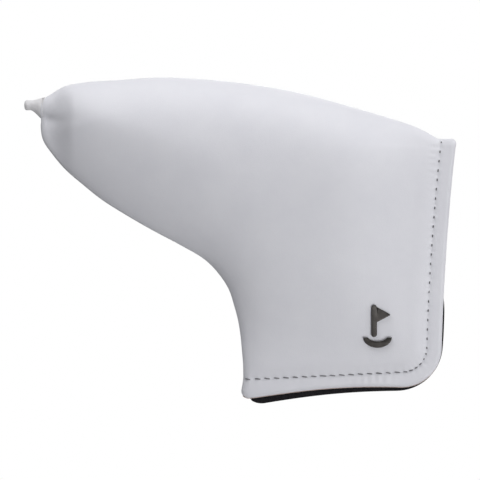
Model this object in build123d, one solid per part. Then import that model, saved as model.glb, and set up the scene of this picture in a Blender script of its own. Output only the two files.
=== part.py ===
from build123d import *
import os

import numpy as np

# A padded cover for a blade putter, sewn from a front and a rear half. Lengths are in millimetres.
# +X runs from the toe to the heel, +Z from the neck up to the crown, and the front half faces -Y.
# The origin is the middle of the neck's mouth, where the putter's shaft leaves the closed cover.
# Each half is a leather panel over foam over plush lining. The halves are sewn to each other from
# the heel's top, over the crown and the toe, down to the neck. The heel and neck edges stay open.
# There the halves are hemmed and close on magnets, and each folds out along a straight crease.

# Outline
toe_reach = 123.0  # shaft axis to the toe end of the leather
heel_reach = 53.4  # shaft axis to the top of the heel edge
heel_foot_reach = 47.2  # shaft axis to the foot of the heel edge
neck_reach = 37.4  # shaft axis to the sewn side of the neck
crown_height = 132.3  # mouth to the highest point of the crown
heel_height = 106.3  # mouth to the top of the heel edge
toe_height = 116.8  # mouth to the underside of the toe
toe_width = 5.8  # height of the toe's end, where the tail leaves
neck_side_height = 12.0  # straight stretch of the neck's sewn side
heel_foot_rise = 3.4  # mouth up to the foot of the heel edge
neck_foot_drop = 3.0  # mouth down to the foot of the neck's sewn side
rear_drop = 2.2  # how much lower the rear half reaches at the neck
rear_heel_drop = 1.0  # how much lower the rear half reaches at the heel
heel_hem_width = 6.8  # heel edge to the end of the crown seam
foot_radius = 15.5
heel_top_radius = 2.5
neck_foot_radius = 3.5
least_corner = 2.0  # smallest corner radius of a row of stitches

# Layers
leather = 1.2
foam = 4.0
hem_foam = 2.0  # the same foam, pressed flat by the hem stitches
lining = 1.5
closure_gap = 0.5  # between the closed halves
seam_rim = 2.5  # half thickness along the sewn edge
seam_allowance = 6.0

# Padding
pouch_puff = 15.5  # half depth of the hollow in the pouch
neck_puff = 7.0  # half depth of the hollow in the neck
neck_puff_height = 20.0
pouch_puff_height = 95.0
seam_roundness = 11.0  # distance over which the padding rises from a sewn edge
hem_roundness = 6.0  # distance over which the foam recovers from the hem
closure_margin = 32.0  # width along the open edges where the halves lie together
seam_blend = 3.0  # distance over which the rises from two sewn edges flow into each other
surface_grid = 4.0  # spacing of the points that the outer surface is fitted to

# Thread
stitch_pitch = 3.9
stitch_length = 3.0
thread = 0.6
hem_stitch_inset = 6.3  # open edge to the row of stitches
seam_stitch_inset = 3.0
crease_stitch_gap = 2.5 * stitch_pitch  # last hem stitch to the end of the row, clear of the crease

# Closure
magnet_diameter = 10.0
magnet_thickness = 1.8
magnet_inset = 14.0
magnet_shares = (0.22, 0.5, 0.84)  # two down the heel edge and one by the neck
magnet_clearance = 0.1
crease_gap = 0.4  # between the pouch and each flap at the crease

# Toe tail
tail_length = 9.0
tail_radius = 2.0
tail_tilt = 11.0  # degrees above level
tail_clearance = 0.15
root_share = 0.4  # share of the tail that is inside the toe
knob_share = 0.72  # where the knob is widest, as a share of the free part
knob_swell = 1.15  # widest part of the knob over the shank
whipping_turns = 3
whipping_start = 2.0  # toe's end to the first turn, in thicknesses of thread
whipping_spacing = 1.1  # from turn to turn, in thicknesses of thread

# Emblem
emblem_x = 19.7
emblem_z = 27.7
emblem_height = 18.0
emblem_width = 12.0
emblem_relief = 1.0
emblem_stroke = 0.2  # width of the pin, as a share of the emblem's width

half_gap = closure_gap / 2
hem_stack = leather + hem_foam + lining + half_gap
full_stack = leather + foam + lining + half_gap
lining_back = lining + half_gap  # distance of the lining's outer face from the middle plane
deep = 80.0  # longer than the cover is thick, for cuts
wide = 400.0  # longer than the cover, for cuts


def flat(x, z):
    """A point of the upright plane that the outline is drawn in."""
    return Vector(x, 0, z)


# Crown seam, from the toe to the heel: share of the length, and share of the rise above the heel.
crown_shape = [
    (0.0, 0.63), (0.031, 0.74), (0.074, 0.88), (0.293, 1.0), (0.512, 0.89), (0.741, 0.53), (0.912, 0.17),
]
# Under seam, from the toe to the neck: share of the length, and share of the toe's height.
under_shape = [
    (0.0, 1.0), (0.019, 0.95), (0.054, 0.878), (0.181, 0.77), (0.377, 0.662), (0.637, 0.554),
    (0.808, 0.482), (0.907, 0.41), (0.975, 0.27),
]


def crown_points():
    length = toe_reach + heel_reach
    rise = crown_height - heel_height
    points = [(-toe_reach + a * length, heel_height + b * rise) for a, b in crown_shape]
    points[0] = (-toe_reach, toe_height + toe_width)
    return points + [(heel_reach - heel_hem_width, heel_height)]


def under_points():
    length = toe_reach - neck_reach
    points = [(-toe_reach + a * length, toe_height * b) for a, b in under_shape]
    return points + [(-neck_reach, neck_side_height)]


class Half:
    """The outline of one half. Its sewn curves are the crown and the side, and its other edges stay
    open. The open edges of a half reach lower by neck_extra at the neck and heel_extra at the heel."""

    def __init__(self, neck_extra, heel_extra):
        self.heel_top = (heel_reach, heel_height)
        self.heel_foot = (heel_foot_reach, heel_foot_rise - heel_extra)
        self.neck_foot = (-neck_reach, -neck_foot_drop - neck_extra)
        self.crown = Spline([flat(*p) for p in crown_points()])
        down = Vector(0, 0, -1)
        self.under = Spline([flat(*p) for p in under_points()], tangents=[down, down])
        at, _ = curve_samples(self.under, 60)
        straight = [(-neck_reach, z) for z in np.linspace(neck_side_height, self.neck_foot[1], 5)[1:]]
        self.side = Spline([flat(*p) for p in at] + [flat(*p) for p in straight])
        self.crown_samples = curve_samples(self.crown, 300)
        self.side_samples = curve_samples(self.side, 300)

    def corner(self, before, at, after, radius):
        """The rounded corner at one point of the outline: its two ends and its arc."""
        a = (flat(*before) - flat(*at)).normalized()
        b = (flat(*after) - flat(*at)).normalized()
        half_angle = np.radians(a.get_angle(b)) / 2
        reach = radius / np.tan(half_angle)
        centre = flat(*at) + (a + b).normalized() * (radius / np.sin(half_angle))
        middle = centre - (a + b).normalized() * radius
        start, end = flat(*at) + a * reach, flat(*at) + b * reach
        return start, end, ThreePointArc(start, middle, end)

    def face(self):
        crown_end = self.crown @ 1
        under_end = self.under @ 1
        crown_end_xz = (crown_end.X, crown_end.Z)
        under_end_xz = (under_end.X, under_end.Z)
        top = self.corner(crown_end_xz, self.heel_top, self.heel_foot, heel_top_radius)
        foot = self.corner(self.heel_top, self.heel_foot, self.neck_foot, foot_radius)
        neck = self.corner(self.heel_foot, self.neck_foot, under_end_xz, neck_foot_radius)
        edges = [
            self.crown,
            Line(crown_end, top[0]),
            top[2],
            Line(top[1], foot[0]),
            foot[2],
            Line(foot[1], neck[0]),
            neck[2],
            Line(neck[1], under_end),
            self.under,
            Line(self.under @ 0, self.crown @ 0),
        ]
        return Face(Wire(edges))

    def open_edge(self, inset):
        """The open edge, moved inwards: down the heel, round the foot and along the neck."""
        heel = np.subtract(self.heel_foot, self.heel_top)
        neck = np.subtract(self.neck_foot, self.heel_foot)
        heel_in = np.array([heel[1], -heel[0]]) / np.hypot(*heel) * inset
        neck_in = np.array([neck[1], -neck[0]]) / np.hypot(*neck) * inset
        turn = np.linalg.solve(np.array([heel, -neck]).T, neck_in - heel_in)
        foot = np.add(self.heel_foot, heel_in) + turn[0] * heel
        top = tuple(np.add(self.heel_top, heel_in))
        end = tuple(np.add(self.neck_foot, neck_in))
        start, stop, arc = self.corner(top, tuple(foot), end, max(foot_radius - inset, least_corner))
        return Wire([Line(flat(*top), start), arc, Line(stop, flat(*end))])


def strip(left, right, low, high):
    """An upright rectangle in the outline plane."""
    corners = [flat(left, low), flat(right, low), flat(right, high), flat(left, high)]
    return Face(Polyline(corners, close=True))


def inner_face(half, margin):
    """The outline less a margin all round."""
    edge = half.open_edge(margin)
    top, end = edge @ 0, edge @ 1
    toe = -toe_reach + margin
    around = Polyline(end, flat(toe, end.Z), flat(toe, wide), flat(top.X, wide), top)
    kept = half.face() & Face(Wire([*edge.edges(), *around.edges()]))
    crown_end = half.crown @ 1
    cut = strip(crown_end.X - margin / 2, wide, heel_height - margin, wide)
    return (kept - ribbon(half.crown, margin, -1) - ribbon(half.side, margin, 1) - cut).face()


def curve_samples(curve, count):
    """Points along a curve and the unit vectors along it, as arrays of (x, z)."""
    shares = np.linspace(0, 1, count)
    at = np.array([[p.X, p.Z] for p in (curve @ t for t in shares)])
    along = np.array([[d.X, d.Z] for d in (curve % t for t in shares)])
    return at, along


def distance_inside(points, samples, inner_side):
    """Distance of each point from a curve, positive on its inner side (1 left of it, -1 right)."""
    at, along = samples
    gaps = points[:, None, :] - at[None, :, :]
    nearest = np.argmin((gaps**2).sum(2), axis=1)
    gap = gaps[np.arange(len(points)), nearest]
    way = along[nearest]
    side = way[:, 0] * gap[:, 1] - way[:, 1] * gap[:, 0]
    return np.hypot(gap[:, 0], gap[:, 1]) * np.sign(side) * inner_side


def distance_from_line(points, start, end):
    """Distance of each point from a straight edge, positive to the right of its direction."""
    way = np.subtract(end, start) / np.hypot(*np.subtract(end, start))
    gap = points - np.array(start)
    return way[1] * gap[:, 0] - way[0] * gap[:, 1]


def smooth_floor(distance):
    """The distance, levelled off smoothly outside the outline."""
    return np.logaddexp(0.0, distance + seam_blend) - seam_blend


def recovered(distance, reach, power):
    """A share that grows from 0 at an edge to 1 well past the reach."""
    return 1 - np.exp(-((distance / reach) ** power))


def smooth_step(value, low, high):
    share = np.clip((value - low) / (high - low), 0, 1)
    return share * share * (3 - 2 * share)


def half_thickness(half, points):
    """Half thickness of the stuffed cover at points (x, z) of its outline.

    It is the rim, plus a rise from each sewn edge, times the stack of layers and the hollow.
    The stack thins at the hem, and the hollow is deep in the pouch and shallow in the neck.
    """
    points = np.asarray(points, float).reshape(-1, 2)
    from_crown = smooth_floor(distance_inside(points, half.crown_samples, -1))
    from_under = smooth_floor(distance_inside(points, half.side_samples, 1))
    from_heel = np.maximum(distance_from_line(points, half.heel_top, half.heel_foot), 0)
    from_neck = np.maximum(distance_from_line(points, half.heel_foot, half.neck_foot), 0)
    both = np.logaddexp(-from_crown / seam_blend, -from_under / seam_blend) * -seam_blend
    sewn = 1 - np.exp(-both / seam_roundness)
    flat_hem = recovered(from_heel, hem_roundness, 2) * recovered(from_neck, hem_roundness, 2)
    hollow = recovered(from_heel, closure_margin, 3) * recovered(from_neck, closure_margin, 3)
    deeper = smooth_step(points[:, 1], neck_puff_height, pouch_puff_height)
    puff = neck_puff + (pouch_puff - neck_puff) * deeper
    layers = hem_stack - seam_rim + (full_stack - hem_stack) * flat_hem + puff * hollow
    return seam_rim + layers * sewn


def softened(field):
    """A grid of values, each averaged with its neighbours."""
    padded = np.pad(field, 1, mode="edge")
    across = (padded[:-2] + 2 * padded[1:-1] + padded[2:]) / 4
    return (across[:, :-2] + 2 * across[:, 1:-1] + across[:, 2:]) / 4


def puffed_surface(half, grid=surface_grid, margin=2 * surface_grid):
    """The outer surface of a front half as one spline face, a little larger than the outline."""
    box = half.face().bounding_box()
    xs = np.arange(box.min.X - margin, box.max.X + margin + grid, grid)
    zs = np.arange(box.min.Z - margin, box.max.Z + margin + grid, grid)
    points = np.array([[x, z] for x in xs for z in zs])
    depth = softened(half_thickness(half, points).reshape(len(xs), len(zs)))
    rows = [[Vector(x, -depth[i, j], z) for j, z in enumerate(zs)] for i, x in enumerate(xs)]
    return Face.make_surface_from_array_of_points(rows, tol=0.05, min_deg=3, max_deg=3)


def solids_of(shape):
    """A shape's solids as one compound."""
    return Compound(children=list(shape.solids()))


def prism(region, back, front=deep):
    """The space behind an outline face, from the plane y = -back out to y = -front."""
    return Solid.extrude(region.moved(Location((0, -back, 0))), Vector(0, back - front, 0))


def below(surface, sunk):
    """Everything inside the puffed surface moved in by a distance."""
    return Solid.extrude(surface.moved(Location((0, sunk, 0))), Vector(0, deep, 0))


def ribbon(curve, width, inner_side, count=60):
    """The strip of the outline plane between a sewn curve and its parallel on the inner side."""
    at, along = curve_samples(curve, count)
    inward = np.stack([-along[:, 1], along[:, 0]], axis=1) * inner_side
    inner = at + inward * width
    outer = at - inward * width
    near = Spline([flat(*p) for p in outer])
    far = Spline([flat(*p) for p in inner[::-1]])
    return Face(Wire([near, Line(near @ 1, far @ 0), far, Line(far @ 1, near @ 0)]))


def crease_side(flap):
    """The half space on the flap's or the pouch's side of the crease, less half the crease gap."""
    crown_end = flat(heel_reach - heel_hem_width, heel_height)
    neck_end = flat(-neck_reach, -neck_foot_drop)
    along = (neck_end - crown_end).normalized()
    towards = Vector(along.Z, 0, -along.X) * (-1 if flap else 1)
    if (towards.X < 0) == flap:
        towards = towards * -1
    middle = (crown_end + neck_end) * 0.5 + towards * (crease_gap / 2)
    plane = Plane(origin=middle, x_dir=along, z_dir=towards)
    return plane * Box(wide, wide, wide, align=(Align.CENTER, Align.CENTER, Align.MIN))


def spaced(wire, pitch, start_gap, end_gap):
    """Evenly spaced points on a wire, with the direction of the wire at each."""
    count = int((wire.length - start_gap - end_gap) / pitch) + 1
    shares = [(start_gap + i * pitch) / wire.length for i in range(count)]
    return [(wire @ t, wire % t) for t in shares]


def outward(half, at, step=1.0):
    """The unit vector out of the leather at a point of the outline."""
    spots = [(at.X + step, at.Z), (at.X - step, at.Z), (at.X, at.Z + step), (at.X, at.Z - step)]
    right, left, up, down = half_thickness(half, spots)
    return Vector((left - right) / (2 * step), -1, (down - up) / (2 * step)).normalized()


def inside_leather(half, at, sunk):
    """The point that lies a distance under the leather's outer face."""
    return Vector(at.X, sunk - float(half_thickness(half, [(at.X, at.Z)])[0]), at.Z)


def hem_thread(half):
    """The row of stitches along the open edge. Each lies on the leather, with a leg at each end."""
    row = half.open_edge(hem_stitch_inset)
    leg_reach = (stitch_length - thread) / 2
    stitches = []
    for at, way in spaced(row, stitch_pitch, stitch_pitch, crease_stitch_gap):
        top = inside_leather(half, at, 0.0)
        lying = Plane(origin=top, x_dir=way, z_dir=outward(half, at))
        stitch = lying * Rot(0, 90, 0) * Cylinder(thread / 2, stitch_length)
        for side in (-1, 1):
            end = lying.from_local_coords(Vector(side * leg_reach, 0, 0))
            leg = Plane(origin=(end.X, -half_gap, end.Z), z_dir=(0, -1, 0)) * Cylinder(
                thread / 2, -end.Y - half_gap, align=(Align.CENTER, Align.CENTER, Align.MIN)
            )
            stitch += leg
        stitches += stitch.solids()
    return Compound(children=stitches)


def magnet_places(half):
    """Where the closure magnets sit, on a line beside the open edge."""
    row = half.open_edge(magnet_inset)
    return [row @ share for share in magnet_shares]


def magnet_disc(half, at, extra):
    """A disc in the middle of the foam, larger than the magnet by extra all round."""
    middle = inside_leather(half, at, leather + foam / 2)
    disc = Cylinder(magnet_diameter / 2 + extra, magnet_thickness + 2 * extra)
    return Plane(origin=middle, x_dir=(0, 0, 1), z_dir=outward(half, at)) * disc


def seam_rows(half):
    """The rows of stitches that join the halves, moved in from the sewn edge."""
    rows = []
    for curve, inner_side in ((half.crown, -1), (half.side, 1)):
        at, along = curve_samples(curve, 80)
        inward = np.stack([-along[:, 1], along[:, 0]], axis=1) * inner_side
        rows.append(Spline([flat(*p) for p in at + inward * seam_stitch_inset]))
    return rows


def seam_thread(half):
    """Stitches through both seam allowances, one solid each."""
    reach = leather + thread / 2
    stitches = []
    for row in seam_rows(half):
        for at, _ in spaced(row, stitch_pitch, 2 * stitch_pitch, 2 * stitch_pitch):
            place = Plane(origin=at, x_dir=(1, 0, 0), z_dir=(0, 1, 0))
            stitches += (place * Cylinder(thread / 2, 2 * reach)).solids()
    return Compound(children=stitches)


def tail_plane():
    """The frame of the tail: its origin at the toe's end, and its axis out of the cover."""
    tilt = np.radians(tail_tilt)
    out = Vector(-np.cos(tilt), 0, np.sin(tilt))
    return Plane(origin=flat(-toe_reach, toe_height + toe_width / 2), x_dir=(0, 1, 0), z_dir=out)


def tail():
    """The rolled end of the seam that is caught in the toe: a plain shank, then a rounded knob."""
    root = tail_length * root_share
    free = tail_length - root
    bound = thread * (whipping_turns + 2)
    knob = tail_radius * knob_swell
    rounded = Spline(
        [(tail_radius, bound), (knob, free * knob_share), (0, free)],
        tangents=[(0, 1), (-1, 0)],
    )
    profile = Face(Wire([
        Line((0, -root), (tail_radius, -root)),
        Line((tail_radius, -root), (tail_radius, bound)),
        rounded,
        Line((0, free), (0, -root)),
    ]))
    return tail_plane() * revolve(Plane.XZ * profile, Axis.Z)


def tail_hole():
    """The clear way for the tail through the toe."""
    return tail_plane() * Cylinder(tail_radius + tail_clearance, 2 * tail_length)


def whipping():
    """Turns of thread round the tail where it leaves the toe."""
    turns = []
    for i in range(whipping_turns):
        ring = Torus(tail_radius + thread / 2 + tail_clearance, thread / 2)
        out = thread * (whipping_start + whipping_spacing * i)
        turns += (tail_plane() * Pos(0, 0, out) * ring).solids()
    return Compound(children=turns)


def emblem_shapes():
    """A plain mark in two pieces: a pennant on its pin, and the curved ground that it stands over."""
    tall, across = emblem_height, emblem_width
    pin = across * emblem_stroke
    pin_x = -across * 0.12
    pin_foot = -tall * 0.25
    mast = SlotOverall(tall / 2 - pin_foot, pin, rotation=90)
    mast = Pos(pin_x, (tall / 2 + pin_foot) / 2) * mast
    pennant = [(pin_x, tall * 0.48), (across * 0.46, tall * 0.27), (pin_x, tall * 0.06)]
    flag = mast + make_face(Polyline(pennant, close=True))
    outer = Pos(0, -tall * 0.26) * Ellipse(across / 2, tall * 0.24)
    inner = Pos(0, -tall * 0.16) * Ellipse(across * 0.4, tall * 0.19)
    upper = Pos(0, tall * 0.02) * Rectangle(across * 2, tall * 0.56)
    return flag, outer - inner - upper


def emblem(half, surface, sketch):
    """One piece of the emblem, lying on the leather and as thick as its relief all over."""
    place = Plane(origin=(emblem_x, 0, emblem_z), x_dir=(1, 0, 0), z_dir=(0, -1, 0))
    block = extrude(place * sketch, amount=deep)
    return block & (below(surface, -emblem_relief) - below(surface, 0.0))


def make_half(half, name, mirrored):
    """Every piece of one half, modelled as a front half and turned over for the rear."""
    surface = puffed_surface(half)
    outline = half.face()
    inside = inner_face(half, leather)
    sewn_curves = [(half.crown, -1), (half.side, 1)]
    seams = [ribbon(curve, seam_allowance, inner_side) for curve, inner_side in sewn_curves]
    seams_clear = [ribbon(curve, seam_allowance + thread, inner_side) for curve, inner_side in sewn_curves]
    flap, pouch = crease_side(True), crease_side(False)
    hole = tail_hole()

    under_skin = below(surface, leather)
    under_foam = below(surface, leather + foam)
    hollow = below(surface, leather + foam + lining)

    shell = (prism(outline, 0.0) & below(surface, 0.0)) - (prism(inside, -1.0) & under_skin)
    strips = prism(seams[0], 0.0, leather) + prism(seams[1], 0.0, leather)
    allowances = prism(outline, 0.0, leather) & strips
    pouch_leather = ((shell + allowances) & pouch) - hole
    flap_leather = shell & prism(outline, lining_back) & flap

    padding = (prism(inside, lining_back) & under_skin) - under_foam
    pockets = [magnet_disc(half, at, magnet_clearance) for at in magnet_places(half)]
    magnets = [magnet_disc(half, at, 0.0) for at in magnet_places(half)]
    pouch_foam = (padding & pouch) - hole
    flap_foam = padding & flap
    for pocket in pockets:
        flap_foam = flap_foam - pocket

    slab = prism(outline, half_gap, lining_back) & below(surface, leather)
    plush = ((prism(outline, half_gap) & under_foam) + slab) - hollow
    kept_clear = leather + thread
    pouch_plush = plush & pouch & prism(inside, half_gap)
    for seam_clear in seams_clear:
        pouch_plush = pouch_plush - prism(seam_clear, 0.0, kept_clear)
    pouch_plush = pouch_plush - hole
    flap_plush = plush & flap

    made = {
        f"{name}_leather": pouch_leather,
        f"{name}_foam": pouch_foam,
        f"{name}_lining": pouch_plush,
        f"{name}_flap_leather": flap_leather,
        f"{name}_flap_foam": flap_foam,
        f"{name}_flap_lining": flap_plush,
        f"{name}_magnets": Compound(children=[s for m in magnets for s in m.solids()]),
        f"{name}_hem_thread": hem_thread(half),
    }
    if mirrored:
        made = {node: mirror(shape, about=Plane.XZ) for node, shape in made.items()}
    return made, surface


front_half = Half(0.0, 0.0)
rear_half = Half(rear_drop, rear_heel_drop)

nodes, front_surface = make_half(front_half, "front", mirrored=False)
rear_nodes, _ = make_half(rear_half, "rear", mirrored=True)
nodes.update(rear_nodes)
flag_sketch, ground_sketch = emblem_shapes()
nodes["emblem_pennant"] = emblem(front_half, front_surface, flag_sketch)
nodes["emblem_ground"] = emblem(front_half, front_surface, ground_sketch)
nodes["seam_thread"] = seam_thread(front_half)
nodes["toe_tail"] = tail()
nodes["toe_whipping"] = whipping()

os.makedirs("parts", exist_ok=True)
for node, shape in nodes.items():
    export_step(solids_of(shape), f"parts/{node}.step")
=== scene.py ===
import math

import bmesh
import bpy
import numpy as np
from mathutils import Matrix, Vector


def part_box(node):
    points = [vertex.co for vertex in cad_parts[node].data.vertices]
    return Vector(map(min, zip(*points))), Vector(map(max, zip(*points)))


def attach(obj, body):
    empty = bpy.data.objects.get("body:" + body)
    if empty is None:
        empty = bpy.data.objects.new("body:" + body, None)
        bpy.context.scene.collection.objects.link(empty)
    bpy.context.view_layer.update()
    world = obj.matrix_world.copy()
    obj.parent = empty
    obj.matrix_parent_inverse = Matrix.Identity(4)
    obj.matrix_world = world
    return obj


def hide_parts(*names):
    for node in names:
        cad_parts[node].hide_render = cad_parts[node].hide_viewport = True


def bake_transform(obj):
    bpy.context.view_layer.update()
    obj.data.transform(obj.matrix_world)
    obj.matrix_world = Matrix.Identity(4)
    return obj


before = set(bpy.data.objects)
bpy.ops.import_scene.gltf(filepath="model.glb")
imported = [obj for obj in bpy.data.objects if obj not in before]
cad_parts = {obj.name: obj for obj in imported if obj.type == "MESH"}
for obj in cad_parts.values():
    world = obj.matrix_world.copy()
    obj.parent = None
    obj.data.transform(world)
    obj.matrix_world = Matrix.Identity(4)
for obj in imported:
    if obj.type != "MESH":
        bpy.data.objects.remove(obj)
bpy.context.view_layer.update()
mm = 0.001  # every shape below is worked out in millimetres and put into its mesh in metres

# Places that come from the frame
pouchLow, pouchHigh = (np.array(c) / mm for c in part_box("front_leather"))
flapLow, flapHigh = (np.array(c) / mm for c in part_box("front_flap_leather"))
rearLow = np.array(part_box("rear_flap_leather")[0]) / mm
emblemHigh = np.array(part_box("emblem_pennant")[1]) / mm
groundLow, groundHigh = (np.array(c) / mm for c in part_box("emblem_ground"))
toeX, heelX = pouchLow[0], flapHigh[0]
crownZ, heelZ = pouchHigh[2] - 0.45, flapHigh[2]
neckX = flapLow[0] - 1.2
footZ = flapLow[2] - 0.3


# ---- camera, lights and floor come first

studio = {
    "middle": (-37.8, 63.8), "frameWidth": 201.6, "distance": 1900.0, "sensor": 36.0,
    "ambient": 0.2, "ambientTint": (0.97, 0.98, 1.0, 1.0), "lampWatts": 7.5, "white": (1.0, 1.0, 1.0, 1.0),
    "floorDrop": 1.2, "floorRadius": 4.0, "floorSides": 64,
}
# each lamp: direction from the cover, width in metres, and strength
lamps = {
    "overhead": ((0.0, -0.15, 1.0), 0.6, 0.567), "upperLeft": ((-0.45, -0.5, 0.75), 0.5, 0.414),
    "lowerRight": ((0.5, -0.65, -0.55), 0.6, 0.585), "bounce": ((0.0, -0.35, -0.9), 0.6, 0.086),
    "upperRight": ((0.9, -0.15, 0.5), 0.5, 0.362), "behind": ((0.25, 0.95, 0.3), 0.7, 0.45),
}


def aim(thing, towards):
    # turns a lamp or the camera so that its -Z axis points at a place
    away = np.array(thing.location) - np.array(towards)
    flat = math.hypot(away[0], away[1])
    thing.rotation_euler = (math.atan2(flat, away[2]), 0.0, math.atan2(away[0], -away[1]))


def addLamp(name, place, towards, size, watts):
    data = bpy.data.lights.new(name, "AREA")
    data.shape = "DISK"
    data.size = size
    data.energy = watts
    lamp = bpy.data.objects.new(name, data)
    bpy.context.scene.collection.objects.link(lamp)
    lamp.location = place
    aim(lamp, towards)
    return lamp


def setStudio(s):
    scene = bpy.context.scene
    lens = bpy.data.cameras.new("camera")
    lens.sensor_width = s["sensor"]
    lens.lens = s["sensor"] * s["distance"] / s["frameWidth"]
    camera = bpy.data.objects.new("camera", lens)
    scene.collection.objects.link(camera)
    camera.location = (s["middle"][0] * mm, -s["distance"] * mm, s["middle"][1] * mm)
    camera.rotation_euler = (math.pi / 2, 0.0, 0.0)
    scene.camera = camera
    scene.view_settings.view_transform = "Standard"

    world = bpy.data.worlds.new("studio")
    scene.world = world
    world.use_nodes = True
    nodes, links = world.node_tree.nodes, world.node_tree.links
    nodes.clear()
    # the camera sees plain white, the cover is lit by a dimmer tint
    seen = nodes.new("ShaderNodeBackground")
    seen.inputs["Color"].default_value = s["white"]
    lit = nodes.new("ShaderNodeBackground")
    lit.inputs["Color"].default_value = s["ambientTint"]
    lit.inputs["Strength"].default_value = s["ambient"]
    path = nodes.new("ShaderNodeLightPath")
    mix = nodes.new("ShaderNodeMixShader")
    out = nodes.new("ShaderNodeOutputWorld")
    links.new(path.outputs["Is Camera Ray"], mix.inputs["Fac"])
    links.new(lit.outputs[0], mix.inputs[1])
    links.new(seen.outputs[0], mix.inputs[2])
    links.new(mix.outputs[0], out.inputs["Surface"])

    centre = np.array([s["middle"][0] * mm, 0.0, s["middle"][1] * mm])
    for name, (way, size, strength) in lamps.items():
        place = centre + np.array(way) / np.linalg.norm(way)
        addLamp(name, tuple(place), tuple(centre), size, s["lampWatts"] * strength)


def makeFloor(s):
    # a wide white disc just under the cover, which gives no light and no shadow
    sides = s["floorSides"]
    rim = np.linspace(0, 2 * math.pi, sides, endpoint=False)
    level = np.full(sides, (rearLow[2] - s["floorDrop"]) * mm)
    corners = np.stack([s["floorRadius"] * np.cos(rim), s["floorRadius"] * np.sin(rim), level], axis=1)
    mesh = bpy.data.meshes.new("floor")
    mesh.from_pydata(corners.tolist(), [], [list(range(sides))])
    floor = bpy.data.objects.new("floor", mesh)
    bpy.context.scene.collection.objects.link(floor)
    look = bpy.data.materials.new("paleFloor")
    look.use_nodes = True
    nodes, links = look.node_tree.nodes, look.node_tree.links
    nodes.clear()
    glow = nodes.new("ShaderNodeEmission")
    glow.inputs["Color"].default_value = s["white"]
    out = nodes.new("ShaderNodeOutputMaterial")
    links.new(glow.outputs[0], out.inputs["Surface"])
    mesh.materials.append(look)
    floor.visible_diffuse = False
    floor.visible_glossy = False
    floor.visible_shadow = False


setStudio(studio)
makeFloor(studio)
print("studio set")


# ---- materials

def setInputs(node, values):
    for key, value in values.items():
        node.inputs[key].default_value = value


def newMaterial(name):
    look = bpy.data.materials.new(name)
    look.use_nodes = True
    tree = look.node_tree
    shader = tree.nodes["Principled BSDF"]
    coords = tree.nodes.new("ShaderNodeTexCoord")
    return look, tree, shader, coords.outputs["Object"]


def addNoise(tree, place, scale, detail=3.0, roughness=0.5):
    node = tree.nodes.new("ShaderNodeTexNoise")
    setInputs(node, {"Scale": scale, "Detail": detail, "Roughness": roughness})
    tree.links.new(place, node.inputs["Vector"])
    return node.outputs["Fac"]


def addRamp(tree, value, stops):
    node = tree.nodes.new("ShaderNodeValToRGB")
    ramp = node.color_ramp
    while len(ramp.elements) < len(stops):
        ramp.elements.new(0.5)
    for element, (at, colour) in zip(ramp.elements, stops):
        element.position = at
        element.color = (*colour, 1.0)
    tree.links.new(value, node.inputs["Fac"])
    return node.outputs["Color"]


def addRange(tree, value, low, high):
    node = tree.nodes.new("ShaderNodeMapRange")
    setInputs(node, {"To Min": low, "To Max": high})
    tree.links.new(value, node.inputs["Value"])
    return node.outputs["Result"]


def addBump(tree, height, distance, strength, under=None):
    node = tree.nodes.new("ShaderNodeBump")
    setInputs(node, {"Distance": distance, "Strength": strength})
    tree.links.new(height, node.inputs["Height"])
    if under is not None:
        tree.links.new(under, node.inputs["Normal"])
    return node.outputs["Normal"]


leatherLook = {
    "light": (0.800, 0.800, 0.845), "shade": (0.765, 0.765, 0.815),
    "grain": 1500.0, "grainDepth": 0.00006, "pore": 5200.0, "soft": 60.0, "swell": 260.0, "warp": 0.0005,
}


def whiteLeather(name, s, tint=(1.0, 1.0, 1.0)):
    # pebbled cells of two sizes in the bump, broad faint clouding in the colour, uneven gloss
    look, tree, shader, place = newMaterial(name)
    cloud = addNoise(tree, place, s["soft"], 4.0, 0.6)
    light = tuple(a * b for a, b in zip(s["light"], tint))
    shade = tuple(a * b for a, b in zip(s["shade"], tint))
    tree.links.new(addRamp(tree, cloud, [(0.3, shade), (0.7, light)]), shader.inputs["Base Color"])
    cells = tree.nodes.new("ShaderNodeTexVoronoi")
    cells.feature = "DISTANCE_TO_EDGE"
    cells.inputs["Scale"].default_value = s["grain"]
    warp = tree.nodes.new("ShaderNodeVectorMath")
    warp.operation = "MULTIPLY_ADD"
    wobble = tree.nodes.new("ShaderNodeTexNoise")
    wobble.inputs["Scale"].default_value = s["grain"] * 0.6
    tree.links.new(place, wobble.inputs["Vector"])
    tree.links.new(wobble.outputs["Color"], warp.inputs[0])
    warp.inputs[1].default_value = (s["warp"],) * 3
    tree.links.new(place, warp.inputs[2])
    tree.links.new(warp.outputs["Vector"], cells.inputs["Vector"])
    cellHeight = addRamp(tree, cells.outputs["Distance"], [(0.0, (0, 0, 0)), (0.16, (1, 1, 1))])
    fine = addNoise(tree, place, s["pore"], 3.0, 0.6)
    normal = addBump(tree, cellHeight, s["grainDepth"], 0.30)
    normal = addBump(tree, fine, s["grainDepth"] * 0.6, 0.28, normal)
    normal = addBump(tree, addNoise(tree, place, s["swell"]), 0.0005, 0.10, normal)
    tree.links.new(normal, shader.inputs["Normal"])
    tree.links.new(addRange(tree, cloud, 0.50, 0.60), shader.inputs["Roughness"])
    setInputs(shader, {"Specular IOR Level": 0.35, "Sheen Weight": 0.05})
    return look


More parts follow.
